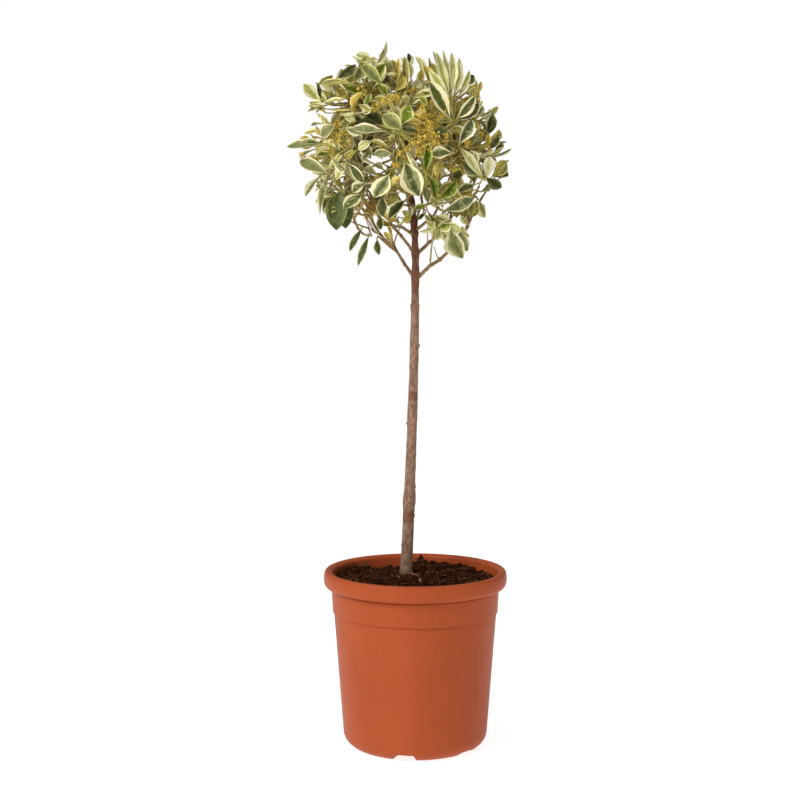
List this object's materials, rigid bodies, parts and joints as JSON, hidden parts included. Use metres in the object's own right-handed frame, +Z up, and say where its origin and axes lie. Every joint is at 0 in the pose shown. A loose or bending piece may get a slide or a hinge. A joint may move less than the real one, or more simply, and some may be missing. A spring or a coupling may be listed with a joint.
{
  "type": "potted japanese spindle",
  "caption": "Variegated evergreen spindle shrub trained as a round-headed standard on a bare stem, with cream-edged leaves and small yellow flower heads, in a round-lipped plastic pot.",
  "frame": {"origin": "middle of the pot's flat underside, at the height of the ground that the pot stands on", "axes": "+Z up along the pot's axis; the picture looks along +Y, with +X to the right"},
  "size_m": [0.2248, 0.2126, 0.7192],
  "materials": {
    "pot_plastic": "orange-brown moulded plastic, satin, slightly worn at the lip",
    "soil": "dark brown peat and bark chips, rough",
    "bark": "grey-brown bark with fine upright furrows and reddish bands, matt",
    "bough_bark": "reddish-brown young bark, matt",
    "foliage": "leathery leaves, dark green with cream edges, satin, with yellow flower heads"
  },
  "bodies": {
    "root": {"pot": "pot_plastic", "soil": "soil", "trunk": "bark", "bough_low_right": "bough_bark", "bough_low_left": "bough_bark", "bough_left_long": "bough_bark", "bough_left_back": "bough_bark", "bough_left_front": "bough_bark", "bough_right_back": "bough_bark", "bough_right_front": "bough_bark", "bough_low_back": "bough_bark", "bough_back": "bough_bark", "bough_low_front": "bough_bark", "bough_front": "bough_bark", "bough_top_left": "bough_bark", "bough_top_right": "bough_bark", "foliage_low_right": "foliage", "foliage_low_left": "foliage", "foliage_drooping_left": "foliage", "foliage_left_back": "foliage", "foliage_left_front": "foliage", "foliage_right_back": "foliage", "foliage_right_front": "foliage", "foliage_low_back": "foliage", "foliage_back": "foliage", "foliage_low_front": "foliage", "foliage_front": "foliage", "foliage_top_left": "foliage", "foliage_top_right": "foliage", "foliage_top": "foliage"}
  },
  "joints": []
}
